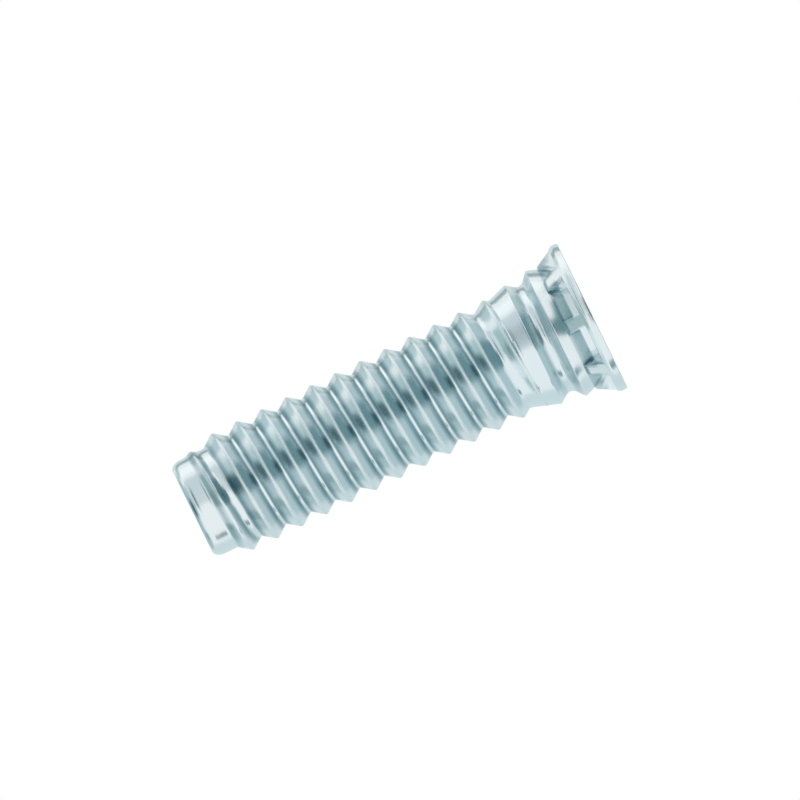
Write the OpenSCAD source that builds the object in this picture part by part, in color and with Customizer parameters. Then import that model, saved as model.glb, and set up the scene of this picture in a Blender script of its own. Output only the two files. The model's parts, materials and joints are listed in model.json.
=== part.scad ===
// Self-clinching stud, cold-headed and thread-rolled in one piece: a round head with gussets
// under it, a dovetail neck and a groove that the sheet's metal flows into, a tapered collar,
// and a right-hand threaded shank with a plain point.
// Frame: the stud stands on its head. Origin at the centre of the head's outer face, +Z up
// the shank towards the point, +X through the middle of one gusset. Millimetres.

/* [Thread] */
// Diameter over the thread's crests
thread_d = 4.8; // [4:0.1:6]
// Depth of the thread from crest to root
thread_depth = 0.365; // [0.25:0.005:0.5]
// Distance between two crests along the axis
pitch = 1.07; // [0.8:0.01:1.3]
// Width of the flat along the thread's crest
crest_flat = 0.06; // [0.04:0.01:0.15]
// Width of the flat along the thread's root
root_flat = 0.08; // [0.04:0.01:0.2]
// Angle about the axis, from +X, at which the last full crest passes
thread_phase = 180; // [0:1:359]
// Cut the thread's turns into the shank, which is otherwise the plain cylinder over its
// crests that a clearance hole and a nut are gauged on
thread_cut = false; // [true, false]

/* [Point] */
// Overall length from the head's outer face to the end of the point
stud_length = 17.4; // [10:0.1:40]
// Length over which the thread's crest rises from the plain point to its full height
lead_in = 0.75; // [0.4:0.05:1.2]
// Length of the plain point
point_length = 0.73; // [0.5:0.01:2]
// Radial step down from the thread's root to the plain point
point_step = 0.015; // [0.01:0.005:0.1]
// Rounding of the point's edge
point_edge_r = 0.32; // [0.05:0.01:0.45]

/* [Head] */
// Thickness of the head from its outer face to its flat underside
head_t = 0.41; // [0.3:0.01:0.8]
// Reach of the head past the dovetail lip
head_reach = 0.45; // [0.25:0.01:0.8]
// Rounding of the edge of the head's outer face
head_edge_r = 0.06; // [0.02:0.01:0.1]
// Bevel of the head's edge on the side of the shank
head_bevel = 0.13; // [0.04:0.01:0.16]

/* [Gussets] */
// Number of gussets around the neck
gusset_count = 8; // [3:1:12]
// Width of one gusset
gusset_w = 0.56; // [0.3:0.01:0.7]
// Height of a gusset above the head's underside
gusset_h = 0.72; // [0.4:0.01:0.9]
// Angle between the axis and a gusset's outer edge
gusset_angle = 28.4; // [20:0.1:35]
// Step in from the head's bevel to the foot of a gusset
gusset_setback = 0.005; // [0.005:0.005:0.05]

/* [Neck and groove] */
// Height of the dovetail lip's edge above the head's underside
neck_h = 1.18; // [1:0.01:1.6]
// Height of the neck's upright foot above the head's underside
neck_foot_h = 0.26; // [0.1:0.01:0.4]
// Fall of the neck's radius for each millimetre below the lip, close to the lip
neck_lean = 0.26; // [0.15:0.01:0.35]
// Further fall of the neck's radius with the square of the distance below the lip
neck_bulge = 0.2; // [0:0.01:0.25]
// Reach of the lip past the collar
lip_reach = 0.145; // [0:0.005:0.25]
// Distance from the lip's edge to the collar's edge
groove_w = 0.965; // [0.8:0.005:1.3]
// Angle between the axis and the groove's side towards the head
groove_head_angle = 60; // [50:1:75]
// Angle between the axis and the groove's side towards the point
groove_point_angle = 40; // [30:1:50]
// Rounding of the groove's bottom
groove_r = 0.3; // [0.1:0.01:0.35]
// Rounding of the lip's edge and of the collar's edge
edge_r = 0.06; // [0.02:0.01:0.1]

/* [Collar] */
// Reach of the collar past the thread's crests
collar_reach = 0.17; // [0.05:0.01:0.3]
// Angle between the axis and the collar's taper
collar_angle = 19.3; // [12:0.1:30]

/* [Hidden] */
$fn = 96;
// Straight steps in one rounded corner of the outline, in the neck, and in one turn of the
// thread.
arc_steps = 8;
neck_steps = 4;
turn_steps = 24;

// Depth of the dovetail at a distance below the lip.
function neck_fall(below) = neck_lean * below + neck_bulge * pow(below, 2);

// Radii from the axis, each set off from the thread's crests.
crest_r = thread_d / 2;
root_r = crest_r - thread_depth;
point_r = root_r - point_step;
collar_r = crest_r + collar_reach;
lip_r = collar_r + lip_reach;
neck_r = lip_r - neck_fall(neck_h - neck_foot_h);
head_r = lip_r + head_reach;
// Heights above the head's outer face.
lip_z = head_t + neck_h;
collar_z = lip_z + groove_w;
point_z = stud_length - point_length;
last_crest_z = point_z - lead_in;

// Corners of the outline as [radius, height].
head_rim = [head_r, 0];
bevel_foot = [head_r, head_t - head_bevel];
bevel_top = [head_r - head_bevel, head_t];
neck_foot = [neck_r, head_t];
neck_side = [for (i = [0 : neck_steps - 1])
    let (below = (neck_h - neck_foot_h) * (1 - i / neck_steps))
    [lip_r - neck_fall(below), lip_z - below]];
lip = [lip_r, lip_z];
collar = [collar_r, collar_z];
collar_foot = [root_r, collar_z + (collar_r - root_r) / tan(collar_angle)];
root_end = [root_r, last_crest_z];
point_foot = [point_r, point_z];
point_rim = [point_r, stud_length];
// The groove's two sides run down from the lip and from the collar until they meet.
head_side = tan(groove_head_angle);
point_side = tan(groove_point_angle);
groove_z = (lip_r - collar_r + head_side * lip_z + point_side * collar_z)
    / (head_side + point_side);
groove = [lip_r - head_side * (groove_z - lip_z), groove_z];

// Points of the arc of radius r that rounds the corner b between a and c.
function unit(v) = v / norm(v);
function rounded(a, b, c, r) =
    let (
        u = unit(a - b),
        v = unit(c - b),
        half = acos(u * v) / 2,
        centre = b + unit(u + v) * r / sin(half),
        from = b + u * r / tan(half) - centre,
        to = b + v * r / tan(half) - centre,
        start = atan2(from[1], from[0]),
        sweep = (atan2(to[1], to[0]) - start + 540) % 360 - 180
    )
    [for (i = [0 : arc_steps])
        let (angle = start + sweep * i / arc_steps)
        centre + r * [cos(angle), sin(angle)]];

// Head, neck, groove, collar, core of the shank and point, turned about the axis.
module body() {
    rotate_extrude()
        polygon(concat(
            [[0, 0]],
            rounded([0, 0], head_rim, bevel_foot, head_edge_r),
            [bevel_foot, bevel_top, neck_foot],
            neck_side,
            rounded(neck_side[neck_steps - 1], lip, groove, edge_r),
            rounded(lip, groove, collar, groove_r),
            rounded(groove, collar, collar_foot, edge_r),
            [collar_foot, root_end, point_foot],
            rounded(point_foot, point_rim, [0, stud_length], point_edge_r),
            [[0, stud_length]]
        ));
}

// One gusset: a plate that stands on the head and leans its sloping outer edge to the lip.
module gusset() {
    foot_r = head_r - head_bevel - gusset_setback;
    top_z = head_t + gusset_h;
    rotate([90, 0, 0])
        translate([0, 0, -gusset_w / 2])
            linear_extrude(gusset_w)
                polygon([
                    [0, head_t / 2],
                    [foot_r, head_t / 2],
                    [foot_r, head_t],
                    [foot_r - gusset_h * tan(gusset_angle), top_z],
                    [0, top_z]
                ]);
}

// Half section of the space between two turns of the thread, as [radius, height], the height
// counted from its middle. The walls past the crests are upright, so that one turn of the
// space never reaches the next, and the root's flat steps stay outside the core.
root_flat_r = root_r / cos(180 / turn_steps) + 0.005;
space_top_r = crest_r + 0.1;
space_half = (pitch - crest_flat) / 2;
space_section = [
    [root_flat_r, -root_flat / 2],
    [crest_r + 0.004, -space_half],
    [space_top_r, -space_half],
    [space_top_r, space_half],
    [crest_r + 0.004, space_half],
    [root_flat_r, root_flat / 2]
];

// A point of the section after a number of turns, counted up from half a pitch above the
// last full crest.
function wound(p, turns) =
    let (angle = thread_phase + 360 * turns)
    [p[0] * cos(angle), p[0] * sin(angle), last_crest_z + pitch * (turns + 0.5) + p[1]];

// The space between the turns as one closed ribbon. It starts inside the collar and ends
// above the lead-in, so neither end shows.
module thread_space() {
    corners = len(space_section);
    first = -ceil((last_crest_z - collar_z + pitch) / pitch * turn_steps);
    last = ceil(lead_in / pitch * turn_steps);
    points = [
        for (step = [first : last], p = space_section)
            wound(p, step / turn_steps)
    ];
    bands = [
        for (ring = [0 : last - first - 1], k = [0 : corners - 1])
            let (a = ring * corners + k, b = ring * corners + (k + 1) % corners)
            each [[a, b, a + corners], [b, b + corners, a + corners]]
    ];
    bottom = [for (k = [corners - 1 : -1 : 0]) k];
    top = [for (k = [0 : corners - 1]) (last - first) * corners + k];
    polyhedron(points, concat([bottom], bands, [top]));
}

// The threaded length: a cylinder over the crests with a tapered start, less the space
// between the turns where they are cut.
module thread() {
    difference() {
        rotate_extrude()
            polygon([
                [0, collar_z],
                [crest_r, collar_z],
                [crest_r, last_crest_z],
                point_foot,
                [0, point_z]
            ]);
        if (thread_cut)
            thread_space();
    }
}

module stud() {
    color([0.72, 0.80, 0.83]) {
        body();
        for (i = [0 : gusset_count - 1])
            rotate([0, 0, i * 360 / gusset_count])
                gusset();
        thread();
    }
}

stud();
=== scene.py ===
import json
import math

import bmesh
import bpy
import numpy as np
from mathutils import Matrix, Vector


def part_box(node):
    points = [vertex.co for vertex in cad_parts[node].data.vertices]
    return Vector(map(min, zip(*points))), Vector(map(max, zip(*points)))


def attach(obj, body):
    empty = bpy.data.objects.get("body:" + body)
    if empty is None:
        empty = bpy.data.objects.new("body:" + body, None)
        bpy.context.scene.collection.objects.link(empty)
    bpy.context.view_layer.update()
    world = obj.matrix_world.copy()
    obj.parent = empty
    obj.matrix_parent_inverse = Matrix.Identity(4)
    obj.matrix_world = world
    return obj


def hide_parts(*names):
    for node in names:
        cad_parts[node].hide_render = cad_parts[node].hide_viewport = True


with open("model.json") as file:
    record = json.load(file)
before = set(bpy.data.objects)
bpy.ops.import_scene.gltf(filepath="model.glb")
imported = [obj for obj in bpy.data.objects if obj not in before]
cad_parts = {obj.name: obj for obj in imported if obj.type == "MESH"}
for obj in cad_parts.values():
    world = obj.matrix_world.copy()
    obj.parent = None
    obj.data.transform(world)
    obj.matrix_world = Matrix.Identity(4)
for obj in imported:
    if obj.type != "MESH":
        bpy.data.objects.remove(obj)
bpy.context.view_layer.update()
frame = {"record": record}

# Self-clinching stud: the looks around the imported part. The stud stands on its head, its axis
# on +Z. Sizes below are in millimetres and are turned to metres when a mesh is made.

MM = 0.001

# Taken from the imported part: the head's radius, the overall length and the thread's crests.
low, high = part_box("stud")
HEAD_R = (high.x - low.x) / 2 / MM
LENGTH = high.z / MM
CREST_R = next(m for m in frame["record"]["mounts"] if m["name"] == "thread")["dims"]["r_mm"]

# Thread.
PITCH = 1.0707
FLANK = 0.78               # rise of a flank for each millimetre along the axis
ROOT_R = 2.035
CREST_BLEND = 0.075        # roundness of the crest
ROOT_BLEND = 0.07          # roundness of the root
CREST_Z = 15.387           # where the last full crest passes over +X
FADE_FROM = 15.9           # the crest's height along the axis where its last turn begins to fade
FADE_LENGTH = 1.35
FADE_POWER = 0.54
FADE_OUT = 16.85           # where nothing is left of it
FADE_FALL = 0.3            # the straight fall just before that
FADE_LEAN = 0.45           # how much flatter its flank towards the point becomes
FADE_SINK = 0.02           # how far below the roots its flanks meet in the end
POINT_BLEND = 0.012        # roundness where the ridge meets the plain point
CONE_BLEND = 0.08          # roundness where it meets the collar's cone, at its greatest
CONE_BLEND_LENGTH = 1.1    # the height over which that roundness grows
ON_CONE = 0.01             # the cone covers the thread where it stands this far above it

# Head, neck, groove and collar, as heights above the head's outer face and radii. A name that
# ends in _EDGE is the radius of a rounded corner.
HEAD_T = 0.41
HEAD_TOP_R = 3.07          # where the head's bevel meets its flat underside
HEAD_FLARE = 0.035         # how much the head widens from its outer face to its bevel
HEAD_BEVEL_Z = 0.24
HEAD_FACE_EDGE, HEAD_BEVEL_EDGE = 0.04, 0.2
LIP_R, LIP_Z, LIP_EDGE = 2.715, 1.59, 0.05
NECK_LEAN, NECK_BULGE = 0.26, 0.2   # how the neck's radius falls below the lip
NECK_END = 0.06            # how far below the lip's corner that curve ends
NECK_Z = 0.67              # below this height the neck is upright
NECK_FOOT_EDGE = 0.03
GROOVE_R, GROOVE_Z, GROOVE_EDGE = 2.185, 2.042, 0.3
COLLAR_R, COLLAR_Z, COLLAR_EDGE = 2.57, 2.58, 0.05
COLLAR_TAPER = 0.35        # fall of the collar's radius for each millimetre along the axis
THREAD_FROM = 2.9          # below this height the collar's cone is plain
GUSSETS = 8
GUSSET_W = 0.56
GUSSET_TOP_R, GUSSET_TOP_Z, GUSSET_TOP_EDGE = 2.641, 1.13, 0.1
GUSSET_FOOT_R = 3.03
GUSSET_EDGE = 0.015        # rounding along a gusset's edges
EDGE_SHARE = 0.4           # but at most this share of how far it stands off the neck there

# Plain point.
POINT_R = 2.02
POINT_FROM = 16.9          # above this height the thread has faded out
POINT_EDGE_Z, POINT_EDGE_R = 0.41, 0.29   # height and depth of its end's rounded edge

# Share of the painted shade in the recesses, from 0 to 1: a darker, greyer colour painted where
# the shade falls. Across a gusset's sector: on its face, on its rounded edge, where its side
# begins, on its side, and on the open neck. It grows over a short height above the neck's
# upright foot.
PAINTED_SHADE_ACROSS = [0, 0.6, 0.37, 0.85, 0.47]
PAINTED_SHADE_RISE = 0.06
# On a gusset's top, and how far below the top it begins and is full.
PAINTED_SHADE_ON_TOP = 0.65
TOP_FROM, TOP_FULL = 0.08, 0.05
# At heights above the head's outer face: just above the lip, and on the groove's upper side.
PAINTED_SHADE_HEIGHTS = [1.6, 1.64, 1.84, 1.9, 2.14, 2.2, 2.32, 2.45]
PAINTED_SHADE_AT_HEIGHTS = [0, 0.45, 0.45, 0, 0, 0.3, 0.3, 0]

# The same painted shade in the thread's valleys. Each pair is where its share begins and over
# how much it grows to the whole.
VALLEY_DEPTH = (0.42, 0.33)         # the depth, as a share of the thread's
VALLEY_FROM_ROOT = (0.03, 0.05)     # the distance from the root, which stays bright
VALLEY_ABOVE_POINT = (0.01, 0.05)   # how far the thread's sides stand above the plain point
VALLEY_HEIGHT = (4, 0.7)            # the height along the axis
VALLEY_LEAST = 0.1                  # what is left below that height, by the collar
VALLEY_FADED = 0.5                  # what is lost where the ridge above has faded

# The matt crest: its share starts above 1, is held at 1, and falls by 1 over a reach.
MATT_START, MATT_REACH = 1.4, 0.07

# Columns in half of one gusset's sector: its face, the rounded edge, its side, the open neck.
FACE, EDGE, SIDE, OPEN = 2, 3, 2, 8
HALF = FACE + EDGE + SIDE + OPEN
COLUMNS = GUSSETS * 2 * HALF
# Points in a rounded corner of an outline, rows up the neck beside the gussets and above them,
# and steps over a gusset's top.
CORNER_POINTS = 7
NECK_ROWS, UPPER_NECK_ROWS = 9, 7
TOP_STEPS = 2
# Rows in half a pitch of the thread, as shares of the pitch from the crest and from the root.
CREST_ROWS = [0, 0.02, 0.045, 0.085, 0.15, 0.235, 0.32]
ROOT_ROWS = [0.11, 0.06, 0.03, 0]
# Rows over the plain point's rounded edge and across its end.
POINT_EDGE_ROWS, POINT_END_ROWS = 19, 9

MERGE = 0.0004             # points closer than this are made one
SHARP_ANGLE = 28           # degrees between two faces, above which their edge is sharp


def srgb(code):
    """Turns a hex colour such as "8fa3ad" to linear red, green, blue and alpha."""
    values = np.array([int(code[i:i + 2], 16) for i in (0, 2, 4)]) / 255
    linear = np.where(values <= 0.04045, values / 12.92, ((values + 0.055) / 1.055) ** 2.4)
    return (*linear, 1.0)


def smooth_max(a, b, blend):
    """The larger of two values, with the corner between them rounded to a hyperbola."""
    return (a + b + np.sqrt((a - b) ** 2 + blend ** 2)) / 2


def ramp(value, start, length):
    """0 up to a start, then straight up to 1 over a length."""
    return np.clip((value - start) / length, 0, 1)


def lattice(x, y, z):
    """Points of a lattice from their coordinates, each stretched to the same rows and columns."""
    return np.stack(np.broadcast_arrays(x, y, z), axis=-1)


def outline(corners):
    """Points of an outline through corners given as (radius, height, rounding, steps).

    A corner with rounding is an arc tangent to its two sides. The straight run that leaves a
    corner is in `steps` steps."""
    at = [np.array(corner[:2], float) for corner in corners]
    arcs = []
    for i, (_, _, rounding, _) in enumerate(corners):
        if rounding == 0:
            arcs.append(at[i][None])
            continue
        back, ahead = at[i - 1] - at[i], at[i + 1] - at[i]
        back, ahead = back / np.linalg.norm(back), ahead / np.linalg.norm(ahead)
        half = math.acos(np.clip(back @ ahead, -1, 1)) / 2
        middle = at[i] + (back + ahead) / np.linalg.norm(back + ahead) * rounding / math.sin(half)
        first = at[i] + back * rounding / math.tan(half) - middle
        last = at[i] + ahead * rounding / math.tan(half) - middle
        start = math.atan2(first[1], first[0])
        turn = (math.atan2(last[1], last[0]) - start + 3 * math.pi) % (2 * math.pi) - math.pi
        angle = start + turn * np.linspace(0, 1, CORNER_POINTS)
        arcs.append(middle + rounding * np.stack([np.cos(angle), np.sin(angle)], axis=-1))
    runs = []
    for i, arc in enumerate(arcs[:-1]):
        along = np.linspace(0, 1, corners[i][3] + 1)[1:-1, None]
        runs += [arc, arc[-1] * (1 - along) + arcs[i + 1][0] * along]
    return np.concatenate([*runs, arcs[-1]])


def ring_angles():
    """The angle of each column about the axis, even all the way round."""
    return np.arange(COLUMNS) * 2 * math.pi / COLUMNS


def turned(profile):
    """A profile of (radius, height) points turned about the axis: one row of points each."""
    angle = ring_angles()
    radius, height = profile[:, :1], profile[:, 1:]
    return lattice(radius * np.cos(angle), radius * np.sin(angle), height)


def neck_outline(height):
    """Points of the neck at some heights: below the lip its radius falls with the distance and
    with its square."""
    below = LIP_Z - height
    return np.stack([LIP_R - NECK_LEAN * below - NECK_BULGE * below ** 2, height], axis=-1)


def gusset_rows():
    """Rows of points over the gussets and the neck between them.

    Each row follows the same cross-section in every sector: across the gusset's face at a
    constant distance from its middle, round its edge, down its upright side to the neck and
    along the neck to the middle of the gap. The face and the neck have an outline each, with
    as many points, and the side joins them point by point. The other half of the sector
    mirrors this one. Returns the points and the share of the painted shade at each: a darker
    colour painted in the recesses where the shade falls."""
    foot = (GUSSET_FOOT_R, HEAD_T, 0)
    upper = neck_outline(np.linspace(NECK_Z, GUSSET_TOP_Z, NECK_ROWS))
    root = outline([(*foot, 6), (upper[0, 0], HEAD_T, NECK_FOOT_EDGE, 3), (*upper[0], 0, 1)])
    neck = np.concatenate([root, upper[1:]])
    face = outline([(*foot, len(neck) - CORNER_POINTS - TOP_STEPS),
                    (GUSSET_TOP_R, GUSSET_TOP_Z, GUSSET_TOP_EDGE, TOP_STEPS),
                    (*upper[-1], 0, 1)])
    gap = np.linalg.norm(face - neck, axis=1)
    edge = np.minimum(GUSSET_EDGE, EDGE_SHARE * gap)[:, None]
    half_w = GUSSET_W / 2
    face_r, face_z = face[:, :1], face[:, 1:]
    neck_r, neck_z = neck[:, :1], neck[:, 1:]

    across = np.linspace(0, 1, FACE + 1)[None, :-1] * (half_w - edge)
    on_face = lattice(np.sqrt(face_r ** 2 - across ** 2), across, face_z)
    angle = np.linspace(0, math.pi / 2, EDGE + 1)[None, :-1]
    across = half_w - edge + edge * np.sin(angle)
    outward = np.sqrt(face_r ** 2 - across ** 2) - edge * (1 - np.cos(angle))
    on_edge = lattice(outward, across, face_z)
    down = np.linspace(0, 1, SIDE + 1)[None, :-1]
    outer = np.sqrt(face_r ** 2 - half_w ** 2) - edge
    inner = np.sqrt(neck_r ** 2 - half_w ** 2)
    on_side = lattice(outer * (1 - down) + inner * down, half_w,
                      face_z * (1 - down) + neck_z * down)
    start = np.arcsin(half_w / neck_r)
    angle = start + (math.pi / GUSSETS - start) * np.linspace(0, 1, OPEN + 1)[None]
    on_neck = lattice(neck_r * np.cos(angle), neck_r * np.sin(angle), neck_z)

    half = np.concatenate([on_face, on_edge, on_side, on_neck], axis=1)
    # Painted shade: a darker colour by the gussets' sides, on their tops and on the open neck,
    # where the shade falls.
    shade_share = np.repeat(PAINTED_SHADE_ACROSS, [FACE, EDGE, 1, SIDE, OPEN])
    shade_share = shade_share * np.interp(half[..., 2], [NECK_Z, NECK_Z + PAINTED_SHADE_RISE], [0, 1])
    on_top = np.interp(face_z, [GUSSET_TOP_Z - TOP_FROM, GUSSET_TOP_Z - TOP_FULL],
                       [0, PAINTED_SHADE_ON_TOP])
    on_top = on_top * (np.arange(HALF + 1) < FACE + EDGE)
    shade_share = np.maximum(shade_share, on_top)
    shade_share = np.concatenate([shade_share, shade_share[:, HALF - 1:0:-1]], axis=1)
    mirrored = half[:, HALF - 1:0:-1] * [1, -1, 1]
    turn = 2 * math.pi / GUSSETS
    spin = np.array([[math.cos(turn), math.sin(turn), 0], [-math.sin(turn), math.cos(turn), 0],
                     [0, 0, 1]])
    sector = np.concatenate([half, mirrored @ spin], axis=1)
    sectors = [sector @ np.linalg.matrix_power(spin, i) for i in range(GUSSETS)]
    return np.concatenate(sectors, axis=1), np.tile(shade_share, (1, GUSSETS))


def head_rows():
    """Rows of the head, the gussets, the neck, the groove and the plain part of the collar, and
    the share of the painted shade at each point: an outline turned about the axis but for the
    gussets."""
    head = turned(outline([
        (0, 0, 0, 12), (HEAD_R - HEAD_FLARE, 0, HEAD_FACE_EDGE, 3),
        (HEAD_R, HEAD_BEVEL_Z, HEAD_BEVEL_EDGE, 3),
        (HEAD_TOP_R, HEAD_T, 0, 1), (GUSSET_FOOT_R, HEAD_T, 0, 1),
    ]))
    gussets, gusset_shade = gusset_rows()
    neck = neck_outline(np.linspace(GUSSET_TOP_Z, LIP_Z - NECK_END, UPPER_NECK_ROWS))
    cone_r = COLLAR_R - COLLAR_TAPER * (THREAD_FROM - COLLAR_Z)
    groove = outline([
        (*neck[-1], 0, 1), (LIP_R, LIP_Z, LIP_EDGE, 3), (GROOVE_R, GROOVE_Z, GROOVE_EDGE, 5),
        (COLLAR_R, COLLAR_Z, COLLAR_EDGE, 5), (cone_r, THREAD_FROM, 0, 1),
    ])
    shoulder = turned(np.concatenate([neck[:-1], groove]))
    rows = np.concatenate([head[:-1], gussets, shoulder[1:]])
    shoulder_shade = np.interp(shoulder[1:, :, 2], PAINTED_SHADE_HEIGHTS, PAINTED_SHADE_AT_HEIGHTS)
    head_shade = np.zeros((len(head) - 1, COLUMNS))
    return rows, np.concatenate([head_shade, gusset_shade, shoulder_shade])


def fade(height):
    """Share of the ridge that is gone where its crest passes a height: none along the shank, a
    root-like power of the way along the last turn, then all of it in a short straight fall."""
    past = ramp(height, FADE_FROM, FADE_LENGTH) ** FADE_POWER
    return 1 - (1 - past) * np.clip((FADE_OUT - height) / FADE_FALL, 0, 1)


def ridge(height, crest):
    """Radius at a height on a thread ridge whose crest passes at another height: two straight
    flanks whose apex is rounded to a hyperbola, and falls below the plain point as it fades."""
    gone = fade(crest)
    full = CREST_R + CREST_BLEND / 2
    slope = FLANK * np.where(height > crest, 1 - FADE_LEAN * gone, 1)
    rounded = np.sqrt((2 * slope * (height - crest)) ** 2 + CREST_BLEND ** 2) / 2
    return full - (full - ROOT_R + FADE_SINK) * gone - rounded


def valley_painted_shade(depth, from_root, sides, height, faded):
    """Share of the painted shade in the valleys, a darker colour where the shade falls: the
    product of a ramp with the depth, one with the distance from the root, one with the sides'
    height above the plain point, one with the height, and what the faded ridge above leaves."""
    share = ramp(depth, *VALLEY_DEPTH) * ramp(from_root, *VALLEY_FROM_ROOT)
    share = share * ramp(sides - POINT_R, *VALLEY_ABOVE_POINT)
    share = share * np.maximum(ramp(height, *VALLEY_HEIGHT), VALLEY_LEAST)
    return share * (1 - VALLEY_FADED * faded)


def matt_crest(depth, from_crest):
    """Share of the matt crest: it falls with the distance from the crest, and with the depth
    down to half of the thread's."""
    return np.clip(MATT_START - from_crest / MATT_REACH, 0, 1) * np.clip(1 - depth * 2, 0, 1)


def thread_rows():
    """Rows of the thread, which climb with it: one pitch for each turn about the axis.

    The radius is the greatest of the ridge below, the ridge above, the collar's cone and the
    plain point, with each corner between two of them rounded. Rows stand closer by the crests
    and the roots. Heights are held between the plain collar and the plain point, where the
    rows run together into one circle. Returns the points, the shares of the painted shade in the
    valleys and of the matt crest at each, and the number of rows in a turn."""
    crest_side = np.array(CREST_ROWS)
    root_side = 0.5 - np.array(ROOT_ROWS)
    step = np.concatenate([crest_side, root_side, 1 - root_side[-2::-1], 1 - crest_side[:0:-1]])
    turns = math.ceil((POINT_FROM - THREAD_FROM) / PITCH) + 2
    first = math.floor((THREAD_FROM - CREST_Z) / PITCH) - 1
    below = (first + np.repeat(np.arange(turns), len(step)))[:, None]
    share = np.tile(step, turns)[:, None]
    angle = ring_angles()
    crest = CREST_Z + PITCH * (below + angle / (2 * math.pi))
    height = np.clip(crest + PITCH * share, THREAD_FROM, POINT_FROM)
    sides = smooth_max(ridge(height, crest), ridge(height, crest + PITCH), ROOT_BLEND)
    cone = COLLAR_R - COLLAR_TAPER * (height - COLLAR_Z)
    blend = CONE_BLEND * ramp(height, THREAD_FROM, CONE_BLEND_LENGTH)
    radius = smooth_max(smooth_max(sides, POINT_R, POINT_BLEND), cone, blend)
    radius = np.where(height <= THREAD_FROM, cone, radius)
    radius = np.where(height >= POINT_FROM, POINT_R, radius)
    rows = lattice(radius * np.cos(angle), radius * np.sin(angle), height)
    depth = np.clip((CREST_R - radius) / (CREST_R - ROOT_R), 0, 1)
    from_root = np.abs(share - 0.5) * PITCH
    from_crest = np.minimum(share, 1 - share) * PITCH
    painted_shade = valley_painted_shade(depth, from_root, sides, height, fade(crest + PITCH))
    peak = matt_crest(depth, from_crest)
    covered = cone > sides + ON_CONE
    return rows, np.where(covered, 0, painted_shade), np.where(covered, 0, peak), len(step)


def point_rows():
    """Rows of the plain point: a cylinder whose end edge is a quarter of an ellipse."""
    angle = np.linspace(0, math.pi / 2, POINT_EDGE_ROWS)
    edge = np.stack([POINT_R - POINT_EDGE_R * (1 - np.cos(angle)),
                     LENGTH - POINT_EDGE_Z * (1 - np.sin(angle))], axis=-1)
    end = np.linspace(POINT_R - POINT_EDGE_R, 0, POINT_END_ROWS)[1:]
    end = np.stack([end, LENGTH + 0 * end], axis=-1)
    return turned(np.concatenate([[[POINT_R, POINT_FROM]], edge, end]))


def lattice_faces(rows, first=0, shift=0):
    """Corner numbers of the quads of a lattice closed about the axis, whose points are
    numbered row by row from `first`. Its last column meets the first `shift` rows further up."""
    row = np.arange(rows - 1)[:, None]
    column = np.arange(COLUMNS)[None]
    after = (column + 1) % COLUMNS
    up = np.where(after == 0, shift, 0)
    corners = np.stack(np.broadcast_arrays(
        row * COLUMNS + column, (row + up) * COLUMNS + after,
        (row + up + 1) * COLUMNS + after, (row + 1) * COLUMNS + column,
    ), axis=-1)
    return first + corners[row + up + 1 < rows]


def make_stud():
    """The stud as one closed mesh: the three lattices meet in shared circles, and their
    doubled points, with those that run together, are merged."""
    head, head_shade = head_rows()
    point = point_rows()
    thread, painted_shade, crest, a_turn = thread_rows()
    points, faces, count = [], [], 0
    for rows, shift in ((head, 0), (thread, a_turn), (point, 0)):
        points.append(rows.reshape(-1, 3))
        faces.append(lattice_faces(len(rows), count, shift))
        count += len(points[-1])
    mesh = bpy.data.meshes.new("threaded_stud")
    mesh.from_pydata(np.concatenate(points) * MM, [], np.concatenate(faces))
    none, end = np.zeros_like(head_shade), np.zeros(len(points[2]))
    # The painted shade in the recesses and the valleys, and the matt crest, are kept on the
    # points.
    for name, below, along in (("painted_shade", head_shade, painted_shade), ("crest", none, crest)):
        share = np.concatenate([below.ravel(), along.ravel(), end])
        mesh.attributes.new(name, "FLOAT", "POINT").data.foreach_set("value", share)
    work = bmesh.new()
    work.from_mesh(mesh)
    bmesh.ops.remove_doubles(work, verts=work.verts, dist=MERGE * MM)
    bmesh.ops.triangulate(work, faces=[f for f in work.faces if len(f.verts) > 4])
    work.to_mesh(mesh)
    work.free()
    mesh.shade_smooth()
    mesh.set_sharp_from_angle(angle=math.radians(SHARP_ANGLE))
    piece = bpy.data.objects.new("threaded_stud", mesh)
    bpy.context.scene.collection.objects.link(piece)
    return piece


def node(tree, kind, settings=None, **links):
    """Adds a node. `settings` are its properties and the constants of its sockets, and each
    link gives a socket's name, with _ for a space, and the output that feeds it."""
    made = tree.nodes.new(kind)
    for name, value in (settings or {}).items():
        if name in made.inputs:
            made.inputs[name].default_value = value
        else:
            setattr(made, name, value)
    for name, output in links.items():
        tree.links.new(output, made.inputs[name.replace("_", " ")])
    return made


def new_material(name):
    """An empty node material."""
    material = bpy.data.materials.new(name)
    material.use_nodes = True
    material.node_tree.nodes.clear()
    return material, material.node_tree


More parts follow.
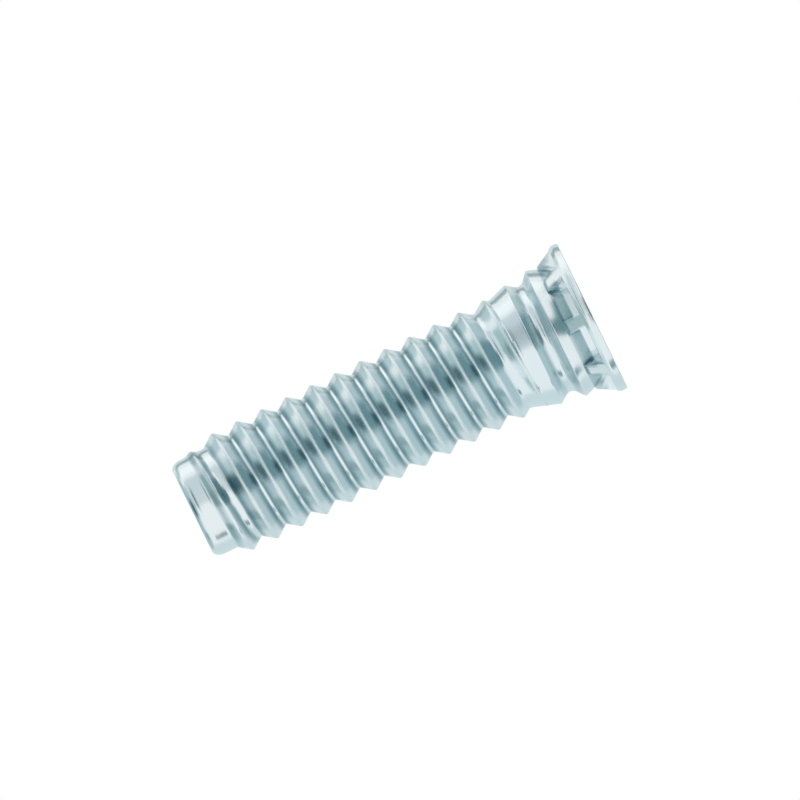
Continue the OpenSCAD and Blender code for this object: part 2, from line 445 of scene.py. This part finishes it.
def zinc_plated_steel():
    """Bright zinc with a clear blue passivate, on cold-headed and thread-rolled steel: a
    near-mirror metal with a cool cast that drifts a little over the part. The recesses and the
    thread's valleys are painted darker and greyer, a painted shade where less light reaches them;
    the crests are matt from rolling, and the rolling dies leave fine lines round the shank. The
    zinc's own grain of about 0.02 mm is too fine to show, so it is drawn at 0.12 mm. A line is
    about 0.9 mm long and a fourteenth of that wide."""
    drift_size, grain_size, line_size, line_shape = 3.2 * MM, 0.12 * MM, 0.9 * MM, 14
    smooth, matt_on_crest, rough_in_grain = 0.14, 0.38, 0.08       # roughness
    bump_height = 0.003 * MM
    factor, plain, painted_shade_colour, mixed = 0, 6, 7, 2      # sockets of a Mix node set to colours

    material, tree = new_material("zinc_plated_steel")
    place = node(tree, "ShaderNodeTexCoord")

    drift = node(tree, "ShaderNodeTexNoise",
                 {"Scale": 1 / drift_size, "Detail": 3.0, "Roughness": 0.55},
                 Vector=place.outputs["Object"])
    shade = node(tree, "ShaderNodeValToRGB", Fac=drift.outputs["Fac"])
    for stop, position, code in zip(shade.color_ramp.elements, (0.3, 0.7), ("dbeaee", "e6eeef")):
        stop.position = position
        stop.color = srgb(code)
    # Painted shade: a darker, greyer colour mixed in over the recesses and the thread's valleys.
    painted_shade = node(tree, "ShaderNodeAttribute", {"attribute_name": "painted_shade"})
    colour = node(tree, "ShaderNodeMix", {"data_type": "RGBA"})
    colour.inputs[painted_shade_colour].default_value = srgb("789da6")
    tree.links.new(painted_shade.outputs["Fac"], colour.inputs[factor])
    tree.links.new(shade.outputs["Color"], colour.inputs[plain])

    grain = node(tree, "ShaderNodeTexNoise", {"Scale": 1 / grain_size, "Detail": 2.0},
                 Vector=place.outputs["Object"])
    stretched = node(tree, "ShaderNodeMapping", {"Scale": (1, 1, line_shape)},
                     Vector=place.outputs["Object"])
    lines = node(tree, "ShaderNodeTexNoise", {"Scale": 1 / line_size, "Detail": 2.0},
                 Vector=stretched.outputs["Vector"])
    crest = node(tree, "ShaderNodeAttribute", {"attribute_name": "crest"})
    matt = node(tree, "ShaderNodeMapRange", {"To Min": smooth, "To Max": matt_on_crest},
                Value=crest.outputs["Fac"])
    rough = node(tree, "ShaderNodeMath", {"operation": "MULTIPLY_ADD"})
    tree.links.new(grain.outputs["Fac"], rough.inputs[0])
    rough.inputs[1].default_value = rough_in_grain
    tree.links.new(matt.outputs["Result"], rough.inputs[2])

    height = node(tree, "ShaderNodeMath", {"operation": "ADD"})
    tree.links.new(grain.outputs["Fac"], height.inputs[0])
    tree.links.new(lines.outputs["Fac"], height.inputs[1])
    bump = node(tree, "ShaderNodeBump", {"Strength": 0.2, "Distance": bump_height},
                Height=height.outputs["Value"])
    shader = node(tree, "ShaderNodeBsdfPrincipled", {"Metallic": 1.0},
                  Base_Color=colour.outputs[mixed], Roughness=rough.outputs["Value"],
                  Normal=bump.outputs["Normal"])
    node(tree, "ShaderNodeOutputMaterial", Surface=shader.outputs["BSDF"])
    return material


# The studio.
STAGE_MIDDLE = Vector((0, 0, 8.5 * MM))     # what the cards and the lamp face
CARD_STEPS = 60            # squares along each side of a card


def only_in_reflections(thing):
    """A card that the metal shows and nothing else sees."""
    for ray in ("camera", "diffuse", "transmission", "volume_scatter", "shadow"):
        setattr(thing, "visible_" + ray, False)


def card(name, centre, half, colour, strength=1.0, soft=0.3, square=8, distance=120):
    """A card of one colour that faces the stud from a sphere about it.

    `centre` is its azimuth and elevation and `half` its half width and half height, in
    degrees. Azimuth 0 is at the camera and grows towards +X. `distance` is the sphere's radius
    in millimetres. The outline is a superellipse, an ellipse where `square` is 2, and the card
    clears towards it over a share `soft`."""
    along = np.linspace(-1, 1, CARD_STEPS + 1)
    u, v = np.meshgrid(along, along)
    across, upward = np.radians(half[0]) * u, np.radians(half[1]) * v
    points = np.stack([np.sin(across) * np.cos(upward), -np.cos(across) * np.cos(upward),
                       np.sin(upward)], axis=-1).reshape(-1, 3)
    place = Matrix.Rotation(math.radians(centre[0]), 3, "Z")
    place = place @ Matrix.Rotation(-math.radians(centre[1]), 3, "X")
    points = points @ np.array(place).T * distance * MM + np.array(STAGE_MIDDLE)
    inside = 1 - (np.abs(u) ** square + np.abs(v) ** square) ** (1 / square)
    cover = np.clip(inside / soft, 0, 1)
    cover = cover * cover * (3 - 2 * cover)

    mesh = bpy.data.meshes.new(name)
    count = len(along)
    row, column = np.meshgrid(np.arange(CARD_STEPS), np.arange(CARD_STEPS), indexing="ij")
    first = (row * count + column).ravel()
    corners = np.stack([first, first + 1, first + count + 1, first + count], axis=-1)
    mesh.from_pydata(points, [], corners)
    mesh.attributes.new("cover", "FLOAT", "POINT").data.foreach_set("value", cover.ravel())
    thing = bpy.data.objects.new(name, mesh)
    bpy.context.scene.collection.objects.link(thing)

    material, tree = new_material(name)
    light = node(tree, "ShaderNodeEmission", {"Color": srgb(colour), "Strength": strength})
    clear = node(tree, "ShaderNodeBsdfTransparent")
    amount = node(tree, "ShaderNodeAttribute", {"attribute_name": "cover"})
    mixed = node(tree, "ShaderNodeMixShader", Fac=amount.outputs["Fac"])
    tree.links.new(clear.outputs[0], mixed.inputs[1])
    tree.links.new(light.outputs[0], mixed.inputs[2])
    node(tree, "ShaderNodeOutputMaterial", Surface=mixed.outputs[0])
    mesh.materials.append(material)
    only_in_reflections(thing)


def make_floor():
    """A wide pale floor just under the head, which fades to the white around it."""
    reach, drop = 500 * MM, 0.02 * MM
    white_from, white_to = 8 * MM, 25 * MM
    square = ((-1, -1), (1, -1), (1, 1), (-1, 1))
    mesh = bpy.data.meshes.new("floor")
    mesh.from_pydata([(x * reach, y * reach, -drop) for x, y in square], [], [(0, 1, 2, 3)])
    floor = bpy.data.objects.new("floor", mesh)
    bpy.context.scene.collection.objects.link(floor)
    material, tree = new_material("pale_floor")
    place = node(tree, "ShaderNodeTexCoord")
    away = node(tree, "ShaderNodeVectorMath", {"operation": "LENGTH"},
                Vector=place.outputs["Object"])
    whiteness = node(tree, "ShaderNodeMapRange", {
        "interpolation_type": "SMOOTHSTEP", "From Min": white_from, "From Max": white_to},
        Value=away.outputs["Value"])
    matt = node(tree, "ShaderNodeBsdfDiffuse", {"Color": srgb("f4f6f7")})
    white = node(tree, "ShaderNodeEmission", {"Color": srgb("ffffff"), "Strength": 1.0})
    mixed = node(tree, "ShaderNodeMixShader", Fac=whiteness.outputs["Result"])
    tree.links.new(matt.outputs[0], mixed.inputs[1])
    tree.links.new(white.outputs[0], mixed.inputs[2])
    node(tree, "ShaderNodeOutputMaterial", Surface=mixed.outputs[0])
    mesh.materials.append(material)
    floor.visible_glossy = False


def make_world():
    """White to the camera, to the metal and through clear things; plain soft light on the rest."""
    soft, white = 0.75, 1.0
    world = bpy.data.worlds.new("studio")
    world.use_nodes = True
    tree = world.node_tree
    tree.nodes.clear()
    rays = node(tree, "ShaderNodeLightPath")
    seen = node(tree, "ShaderNodeMath", {"operation": "MAXIMUM"})
    tree.links.new(rays.outputs["Is Camera Ray"], seen.inputs[0])
    tree.links.new(rays.outputs["Is Glossy Ray"], seen.inputs[1])
    either = node(tree, "ShaderNodeMath", {"operation": "MAXIMUM"})
    tree.links.new(seen.outputs[0], either.inputs[0])
    tree.links.new(rays.outputs["Is Transmission Ray"], either.inputs[1])
    level = node(tree, "ShaderNodeMapRange", {"To Min": soft, "To Max": white},
                 Value=either.outputs[0])
    sky = node(tree, "ShaderNodeBackground", {"Color": srgb("ffffff")},
               Strength=level.outputs["Result"])
    node(tree, "ShaderNodeOutputWorld", Surface=sky.outputs[0])
    bpy.context.scene.world = world


def make_lamp(name, place, size, power):
    """A square soft lamp that faces the stud, its place and side in metres and its power in
    watts. The metal doesn't show it."""
    light = bpy.data.lights.new(name, "AREA")
    light.size = size
    light.energy = power
    lamp = bpy.data.objects.new(name, light)
    lamp.location = place
    lamp.rotation_euler = (STAGE_MIDDLE - Vector(place)).to_track_quat("-Z", "Y").to_euler()
    bpy.context.scene.collection.objects.link(lamp)
    lamp.visible_glossy = False


def make_camera():
    """Looks level along +Y, rolled so that the shank runs down to the left, with no
    perspective."""
    roll = math.radians(26.13)
    view_width = 31.25 * MM
    middle_x, middle_z, away = 0.344 * MM, 8.2 * MM, 150 * MM
    right = Vector((-math.sin(roll), 0, -math.cos(roll)))
    up = Vector((math.cos(roll), 0, -math.sin(roll)))
    data = bpy.data.cameras.new("camera")
    data.type = "ORTHO"
    data.ortho_scale = view_width
    data.clip_start = 1 * MM
    data.clip_end = 10
    camera = bpy.data.objects.new("camera", data)
    place = Matrix((right, up, Vector((0, -1, 0)))).transposed().to_4x4()
    place.translation = Vector((middle_x, -away, middle_z))
    camera.matrix_world = place
    bpy.context.scene.collection.objects.link(camera)
    bpy.context.scene.camera = camera


bpy.context.scene.view_settings.view_transform = "Standard"
make_camera()
make_world()
make_floor()
make_lamp("key", (0.16, -0.2, 0.26), 0.16, 0.35)

stud = make_stud()
stud.data.materials.append(zinc_plated_steel())
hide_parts("stud")
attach(stud, "root")

# What the plating shows of the room: pale caps above and below, a card behind and one before,
# a white panel to the right, and greyer flags on both sides.
card("upper_cap", (-150, 72), (52, 52), "b2c9ce", soft=0.3, square=2, distance=150)
card("lower_cap", (-150, -72), (52, 52), "bed2d7", soft=0.3, square=2, distance=150)
card("back_card", (-157, 0), (61, 34), "dce8eb", soft=0.2, distance=140)
card("front_card", (40, 14), (38, 34), "d9e2e6", soft=0.15, distance=140)
card("key_panel", (100, 0), (14, 36), "ffffff", strength=1.12, soft=0.2, distance=130)
card("side_flag", (-82, -12), (9, 26), "809da1", soft=0.4, distance=120)
card("far_flag", (138, 0), (10, 32), "a0b2b5", distance=120)
# Pale, grey and dark cards further up and down, which the stud's sloping faces show.
card("lower_right", (116, -46), (30, 20), "c0d2d6", soft=0.5, square=4, distance=135)
card("upper_right", (128, 36), (20, 16), "c2d6da", soft=0.5, square=3, distance=135)
card("zenith", (160, 84), (15, 15), "7a949a", soft=0.5, square=2, distance=112)
card("dark_above", (14, 76), (19, 18), "3c606a", soft=0.6, square=2, distance=110)
card("above_front", (0, 57), (15, 9), "9fb9bb", soft=0.3, square=4, distance=105)
card("above_right", (44, 57), (28, 9), "aecaca", soft=0.3, square=4, distance=108)
card("above_left", (-44, 55), (26, 9), "eef5f7", soft=0.3, square=4, distance=108)
card("dark_flank", (-103, 54), (14, 9), "8fa9ae", soft=0.5, square=2, distance=110)
# Smaller dark cards below and before the stud, which the metal shows as dark strokes.
card("dark_below", (60, -72), (29, 29), "6f949c", soft=0.5, square=2, distance=110)
card("dark_below_front", (10, -50), (18, 26), "6d9097", soft=0.4, square=3, distance=100)
card("dark_below_right", (46, -49), (21, 10), "72989f", soft=0.4, square=3, distance=102)
card("dark_above_front", (24, 27), (38, 9.5), "31535d", soft=0.9, square=3, distance=100)
card("dark_below_level", (12, -26.5), (24, 6), "2a4048", soft=0.5, square=3, distance=98)
